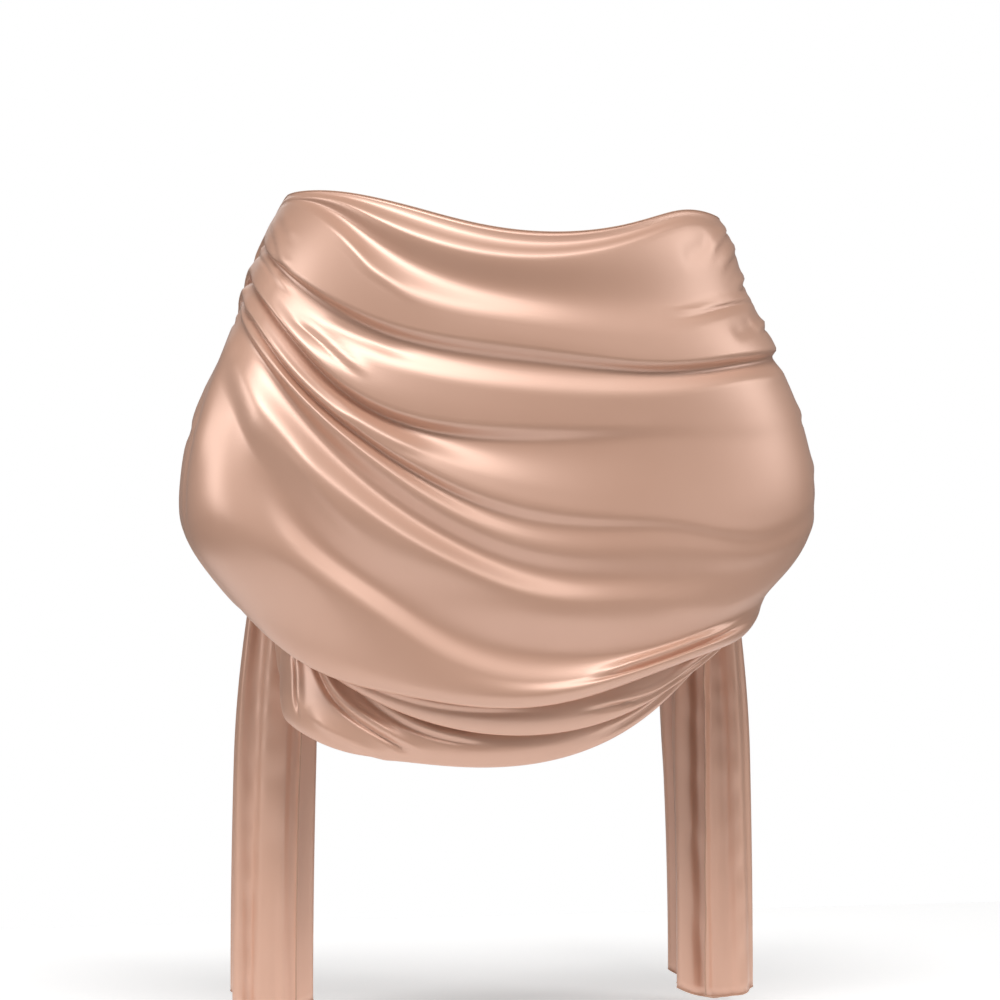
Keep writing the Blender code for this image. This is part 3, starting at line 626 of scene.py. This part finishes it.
def drape_column_places():
    """Courses from the right forearm through 0 to the left one, evenly apart on the cloth."""
    fine = np.linspace(0, COURSE_AT_FOREARM, SPACING_SAMPLES)
    middle = np.full_like(fine, MIDDLE_ROW)
    line = smooth_point(1, fine, middle)
    run = np.concatenate([[0.0], np.cumsum(np.linalg.norm(np.diff(line, axis=0), axis=1))])
    half = np.interp(np.linspace(0, run[-1], DRAPE_COLUMNS // 2 + 1), run, fine)
    return np.concatenate([-half[:0:-1], half])


def both_sides(make_point, course, rows):
    """One grid of points across the back, from the right side's course through 0 to the left's."""
    right = make_point(-1, -course[course < 0][None, :], rows[:, None])
    left = make_point(1, course[course >= 0][None, :], rows[:, None])
    return np.concatenate([right, left], 1)


def grid_normals(points):
    """Outward normals of a grid whose columns run to the wearer's left and rows run down."""
    along = np.gradient(points, axis=1)
    down = np.gradient(points, axis=0)
    normal = np.cross(along, down)
    return normal / np.maximum(np.linalg.norm(normal, axis=-1, keepdims=True), 1e-12)


def line_on_grid(line, course, heights, points, normals):
    """A crease's points and normals on the cloth, from its (girth, height) points."""
    line = np.array(line)
    knots = np.linspace(0, 1, len(line))
    at = spline_through(knots, line, np.linspace(0, 1, CREASE_SAMPLES))
    column = np.interp(at[:, 0], course, np.arange(len(course)))
    places, facing = [], []
    for j, height in zip(column, at[:, 1]):
        left = min(int(j), len(course) - 2)
        share = j - left
        fall = heights[:, left] * (1 - share) + heights[:, left + 1] * share
        i = np.interp(-height, -fall, np.arange(len(fall)))
        top = min(int(i), len(fall) - 2)
        part = i - top
        corner = ((1 - part) * (1 - share), (1 - part) * share, part * (1 - share), part * share)
        cells = ((top, left), (top, left + 1), (top + 1, left), (top + 1, left + 1))
        places.append(sum(weight * points[cell] for weight, cell in zip(corner, cells)))
        facing.append(sum(weight * normals[cell] for weight, cell in zip(corner, cells)))
    return np.array(places), np.array(facing)


def crease_depth(flat, places, facing, half_width, proud, undercut, open_end):
    """How far one crease lifts each point of the cloth: a ridge, with a groove just below it."""
    run = np.gradient(places, axis=0)
    run /= np.maximum(np.linalg.norm(run, axis=1, keepdims=True), 1e-9)
    below = np.cross(facing, run)
    depth = np.zeros(len(flat))
    reach = CREASE_REACH * half_width
    near = ((flat > places.min(0) - reach) & (flat < places.max(0) + reach)).all(1)
    if not near.any():
        return depth
    offset = flat[near][:, None] - places[None]
    nearest = (offset ** 2).sum(-1).argmin(1)
    index = np.arange(len(nearest))
    away = offset[index, nearest]
    side = (away * below[nearest]).sum(1) / half_width
    beyond = (away * run[nearest]).sum(1) / half_width
    share = nearest / (len(places) - 1)
    fade_out = 1.0 if open_end else ease((1 - share) / CREASE_TAPER)
    taper = ease(share / CREASE_TAPER) * fade_out * np.exp(-beyond ** 2)
    ridge = proud * np.exp(-((side + RIDGE_OFFSET) ** 2))
    groove = undercut * np.exp(-(((side - GROOVE_OFFSET) / GROOVE_WIDTH) ** 2))
    depth[near] = taper * (ridge - groove)
    return depth


def chance_creases():
    """Faint short creases by chance, the same on every run."""
    chance = np.random.default_rng(SEED)
    made = []
    for row in CHANCE_CREASES:
        count, girth_from, girth_to, height_from, height_to, rise, half_width, proud = row
        for _ in range(count):
            girth = chance.uniform(girth_from, girth_to)
            height = chance.uniform(height_from, height_to)
            length = CHANCE_HALF_LENGTH * chance.uniform(*CHANCE_LENGTHS)
            lift = length * (rise + chance.normal(0, CHANCE_TILT))
            bow = chance.normal(0, CHANCE_BOW)
            line = (
                (girth - length, height - lift),
                (girth, height + bow),
                (girth + length, height + lift),
            )
            size = chance.uniform(*CHANCE_SIZES) * chance.choice([-1.0, 1.0])
            width = half_width * chance.uniform(*CHANCE_WIDTHS)
            made.append((line, width, proud * size, CHANCE_UNDERCUT * proud * abs(size)))
    return made


def creased(points, heights, course, creases, open_end=False):
    """The grid with its creases in it."""
    normals = grid_normals(points)
    flat = points.reshape(-1, 3)
    depth = np.zeros(len(flat))
    for line, half_width, proud, undercut in creases:
        places, facing = line_on_grid(line, course, heights, points, normals)
        sizes = half_width * MM, proud * MM, undercut * MM
        depth += crease_depth(flat, places, facing, *sizes, open_end)
    return points + normals * depth.reshape(points.shape[:2])[..., None]


def cloth_mesh(name, points, face_side, uv):
    """A shell of cloth round a grid of points, with the cloth's own flat places as its UV."""
    rows, columns = points.shape[:2]
    corner = (np.arange(rows - 1)[:, None] * columns + np.arange(columns - 1)).reshape(-1)
    faces = np.stack([corner, corner + 1, corner + columns + 1, corner + columns], 1)
    if face_side < 0:
        faces = faces[:, ::-1]
    mesh = bpy.data.meshes.new(name)
    mesh.from_pydata(points.reshape(-1, 3).tolist(), [], faces.tolist())
    layer = mesh.uv_layers.new(name="cut")
    corner_uv = uv.reshape(-1, 2)[faces.reshape(-1)].astype(np.float32)
    layer.data.foreach_set("uv", corner_uv.reshape(-1))
    mesh.shade_smooth()
    piece = bpy.data.objects.new(name, mesh)
    bpy.context.scene.collection.objects.link(piece)
    wall = piece.modifiers.new("wall", "SOLIDIFY")
    wall.thickness = SILK_WALL
    wall.offset = 0.0
    wall.use_even_offset = False
    wall.use_quality_normals = True
    return piece


def flat_places(points):
    """Each grid point's place on the flat cloth: metres along and across, from mean spacings."""
    along = np.linalg.norm(np.diff(points, axis=1), axis=-1)
    across = np.linalg.norm(np.diff(points, axis=0), axis=-1)
    u = np.concatenate([np.zeros((len(points), 1)), np.cumsum(along, 1)], 1)
    v = np.concatenate([np.zeros((1, points.shape[1])), np.cumsum(across, 0)], 0)
    u = u - u[:, [points.shape[1] // 2]]
    return np.stack([u, v], -1)


def build_drape(material):
    rows, course = drape_row_places(), drape_column_places()
    points = both_sides(cloth_point, course, rows)
    girth = np.clip(course, -1, 1)[None, :] + np.zeros((len(rows), 1))
    row = rows[:, None] + np.zeros_like(girth)
    heights, _ = folded_profile(FOLDS, girth, row, TURN_ROWS, TURN_DEPTH)
    # Past the border's lowest line the cloth turns back up inside, where no crease is placed.
    last = np.searchsorted(rows, LAST_ROW - TURN_ROWS)
    heights[last:] = heights[last] - np.arange(len(rows) - last)[:, None] * MM
    points = creased(points, heights, course, DRAPE_CREASES + tuple(chance_creases()))
    piece = cloth_mesh("stole_drape", points, 1, flat_places(points))
    piece.data.materials.append(material)
    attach(piece, "root")
    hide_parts("back_drape", "left_arm_wrap", "right_arm_wrap")
    return piece, points


def build_tail(name, node, side, creases, material):
    rows = np.linspace(0, LAST_ROW, TAIL_ROWS)
    course = COURSE_AT_FOREARM + np.linspace(0, 1, TAIL_COLUMNS) ** TAIL_SPACING
    points = cloth_point(side, course[None, :], rows[:, None])
    # A tail's creases are placed by course and by share of the width, so that stands for height.
    shares = np.repeat(-rows[:, None] / LAST_ROW, TAIL_COLUMNS, 1)
    points = creased(points, shares, course, creases, open_end=True)
    piece = cloth_mesh(name, points, side, flat_places(points))
    piece.data.materials.append(material)
    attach(piece, "root")
    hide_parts(node)
    return piece, points


def build_tuck(name, node, lines, creases, material):
    course = np.linspace(-TUCK_COURSE, TUCK_COURSE, TUCK_COLUMNS + 1)
    rows = np.concatenate([
        np.linspace(0, 1, TUCK_ROWS - TUCK_BORDER_ROWS),
        np.linspace(1, 2, TUCK_BORDER_ROWS + 1)[1:],
    ])

    def make_point(side, course, row):
        return tuck_point(lines, side, course, row)

    points = both_sides(make_point, course, rows)
    girth = np.clip(course, -1, 1)[None, :] + np.zeros((len(rows), 1))
    row = rows[:, None] + np.zeros_like(girth)
    heights, _ = folded_profile(lines, girth, row, 1, TUCK_TURN_DEPTH)
    last = np.searchsorted(rows, TUCK_INSIDE_ROW)
    heights[last:] = heights[last] - np.arange(len(rows) - last)[:, None] * MM
    points = creased(points, heights, course, creases)
    piece = cloth_mesh(name, points, 1, flat_places(points))
    piece.data.materials.append(material)
    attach(piece, "root")
    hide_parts(node)
    return piece, points


def hem_tube(name, line, material, *nodes):
    """A thin rolled hem along a line of points."""
    run = np.gradient(line, axis=0)
    run /= np.linalg.norm(run, axis=1, keepdims=True)
    side = np.cross(run, np.array(HEM_ASIDE))
    side /= np.linalg.norm(side, axis=1, keepdims=True)
    up = np.cross(side, run)
    angle = np.linspace(0, 2 * np.pi, HEM_SIDES, endpoint=False)
    ring = side[:, None] * np.cos(angle)[None, :, None] + up[:, None] * np.sin(angle)[None, :, None]
    points = (line[:, None] + HEM_RADIUS * ring).reshape(-1, 3)
    count = len(line)
    corner = np.arange(count - 1)[:, None] * HEM_SIDES + np.arange(HEM_SIDES)
    after = np.arange(count - 1)[:, None] * HEM_SIDES + (np.arange(HEM_SIDES) + 1) % HEM_SIDES
    faces = np.stack([corner, corner + HEM_SIDES, after + HEM_SIDES, after], -1)
    faces = faces.reshape(-1, 4).tolist()
    faces.append(list(range(HEM_SIDES)))
    faces.append([(count - 1) * HEM_SIDES + k for k in range(HEM_SIDES)][::-1])
    mesh = bpy.data.meshes.new(name)
    mesh.from_pydata(points.tolist(), [], faces)
    mesh.shade_smooth()
    mesh.materials.append(material)
    piece = bpy.data.objects.new(name, mesh)
    bpy.context.scene.collection.objects.link(piece)
    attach(piece, "root")
    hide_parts(*nodes)
    return piece


def shaded_hem_material():
    # The hem's darker base colour is painted shade along the rolled edges, not a colour of its own
    material = bpy.data.materials.new("rose_hem_painted_shade")
    material.use_nodes = True
    shader = material.node_tree.nodes["Principled BSDF"]
    shader.inputs["Base Color"].default_value = HEM_SHADED_COLOUR
    shader.inputs["Roughness"].default_value = 0.55
    shader.inputs["Sheen Weight"].default_value = 0.2
    return material


def satin_material():
    material = bpy.data.materials.new("rose_satin")
    material.use_nodes = True
    nodes, links = material.node_tree.nodes, material.node_tree.links
    shader = nodes["Principled BSDF"]
    shader.inputs["Base Color"].default_value = SATIN_COLOUR
    for socket, amount in SATIN.items():
        shader.inputs[socket].default_value = amount
    place = nodes.new("ShaderNodeTexCoord")
    cloudy = nodes.new("ShaderNodeTexNoise")
    cloudy.inputs["Scale"].default_value = TINT_SCALE
    cloudy.inputs["Detail"].default_value = 3.0
    links.new(place.outputs["Object"], cloudy.inputs["Vector"])
    tint = nodes.new("ShaderNodeMix")
    tint.data_type = "RGBA"
    tint.inputs["A"].default_value = SATIN_DARK
    tint.inputs["B"].default_value = SATIN_LIGHT
    links.new(cloudy.outputs["Fac"], tint.inputs["Factor"])
    links.new(tint.outputs["Result"], shader.inputs["Base Color"])
    cut = nodes.new("ShaderNodeUVMap")
    cut.uv_map = "cut"
    tangent = nodes.new("ShaderNodeTangent")
    tangent.direction_type = "UV_MAP"
    tangent.uv_map = "cut"
    links.new(tangent.outputs["Tangent"], shader.inputs["Tangent"])
    stretch = nodes.new("ShaderNodeMapping")
    stretch.inputs["Scale"].default_value = THREAD_SCALE
    links.new(cut.outputs["UV"], stretch.inputs["Vector"])
    threads = nodes.new("ShaderNodeTexNoise")
    threads.inputs["Scale"].default_value = 1.0
    threads.inputs["Detail"].default_value = 2.0
    links.new(stretch.outputs["Vector"], threads.inputs["Vector"])
    bump = nodes.new("ShaderNodeBump")
    bump.inputs["Strength"].default_value = THREAD_BUMP
    bump.inputs["Distance"].default_value = THREAD_DEPTH
    links.new(threads.outputs["Fac"], bump.inputs["Height"])
    links.new(bump.outputs["Normal"], shader.inputs["Normal"])
    return material


def soft_light(name, place, size, power):
    light = bpy.data.lights.new(name, "AREA")
    light.shape = "RECTANGLE"
    light.size, light.size_y = size
    light.energy = power
    lamp = bpy.data.objects.new(name, light)
    lamp.location = place
    aim = Vector(LIGHT_AIM) - Vector(place)
    lamp.rotation_euler = aim.to_track_quat("-Z", "Y").to_euler()
    bpy.context.scene.collection.objects.link(lamp)


def build_floor():
    mesh = bpy.data.meshes.new("floor")
    signs = ((-1, -1), (1, -1), (1, 1), (-1, 1))
    corners = [(x * FLOOR_HALF, y * FLOOR_HALF, FLOOR_LEVEL) for x, y in signs]
    mesh.from_pydata(corners, [], [(0, 1, 2, 3)])
    floor = bpy.data.objects.new("floor", mesh)
    bpy.context.scene.collection.objects.link(floor)
    paint = bpy.data.materials.new("floor_paint")
    paint.use_nodes = True
    shader = paint.node_tree.nodes["Principled BSDF"]
    shader.inputs["Base Color"].default_value = (FLOOR_GREY, FLOOR_GREY, FLOOR_GREY, 1)
    shader.inputs["Roughness"].default_value = FLOOR_ROUGHNESS
    shader.inputs["Emission Color"].default_value = (1, 1, 1, 1)
    shader.inputs["Emission Strength"].default_value = FLOOR_GLOW
    mesh.materials.append(paint)


def build_world():
    """White behind the object, and a faint fill on it."""
    world = bpy.data.worlds.new("studio")
    bpy.context.scene.world = world
    world.use_nodes = True
    tree = world.node_tree
    tree.nodes.clear()
    out = tree.nodes.new("ShaderNodeOutputWorld")
    mix = tree.nodes.new("ShaderNodeMixShader")
    seen = tree.nodes.new("ShaderNodeBackground")
    fill = tree.nodes.new("ShaderNodeBackground")
    path = tree.nodes.new("ShaderNodeLightPath")
    seen.inputs["Color"].default_value = (1, 1, 1, 1)
    seen.inputs["Strength"].default_value = 1.0
    fill.inputs["Color"].default_value = FILL_COLOUR
    fill.inputs["Strength"].default_value = FILL_STRENGTH
    tree.links.new(path.outputs["Is Camera Ray"], mix.inputs["Fac"])
    tree.links.new(fill.outputs["Background"], mix.inputs[1])
    tree.links.new(seen.outputs["Background"], mix.inputs[2])
    tree.links.new(mix.outputs["Shader"], out.inputs["Surface"])


def build_camera():
    camera = bpy.data.cameras.new("camera")
    camera.lens = CAMERA_LENS
    camera.sensor_width = CAMERA_SENSOR
    viewer = bpy.data.objects.new("camera", camera)
    place = Vector((
        CAMERA_DISTANCE * math.sin(CAMERA_TURN),
        CAMERA_DISTANCE * math.cos(CAMERA_TURN),
        CAMERA_LEVEL,
    ))
    aim = Vector((0, 0, CAMERA_LEVEL)) - place
    viewer.location = place
    viewer.rotation_euler = aim.to_track_quat("-Z", "Y").to_euler()
    bpy.context.scene.collection.objects.link(viewer)
    bpy.context.scene.camera = viewer


def build_studio():
    build_floor()
    build_world()
    for light in LIGHTS:
        soft_light(*light)
    build_camera()
    bpy.context.scene.view_settings.view_transform = "Standard"


satin = satin_material()
shaded_edge_satin = shaded_hem_material()
drape, drape_points = build_drape(satin)
left_tail, left_points = build_tail("left_tail_cloth", "left_tail", 1, LEFT_TAIL_CREASES, satin)
right_tail, right_points = build_tail(
    "right_tail_cloth", "right_tail", -1, RIGHT_TAIL_CREASES, satin
)
upper_tuck, _ = build_tuck("upper_tuck_cloth", "upper_tuck", UPPER_TUCK, UPPER_TUCK_CREASES, satin)
lower_tuck, _ = build_tuck("lower_tuck_cloth", "lower_tuck", LOWER_TUCK, LOWER_TUCK_CREASES, satin)
top_line = np.concatenate([right_points[0, ::-1], drape_points[0, 1:-1], left_points[0]])
top_hem = hem_tube("top_hem", top_line, shaded_edge_satin, "back_drape")
left_hem = hem_tube("left_tail_hem", left_points[:, -1], shaded_edge_satin, "left_tail")
right_hem = hem_tube("right_tail_hem", right_points[:, -1], shaded_edge_satin, "right_tail")

build_studio()
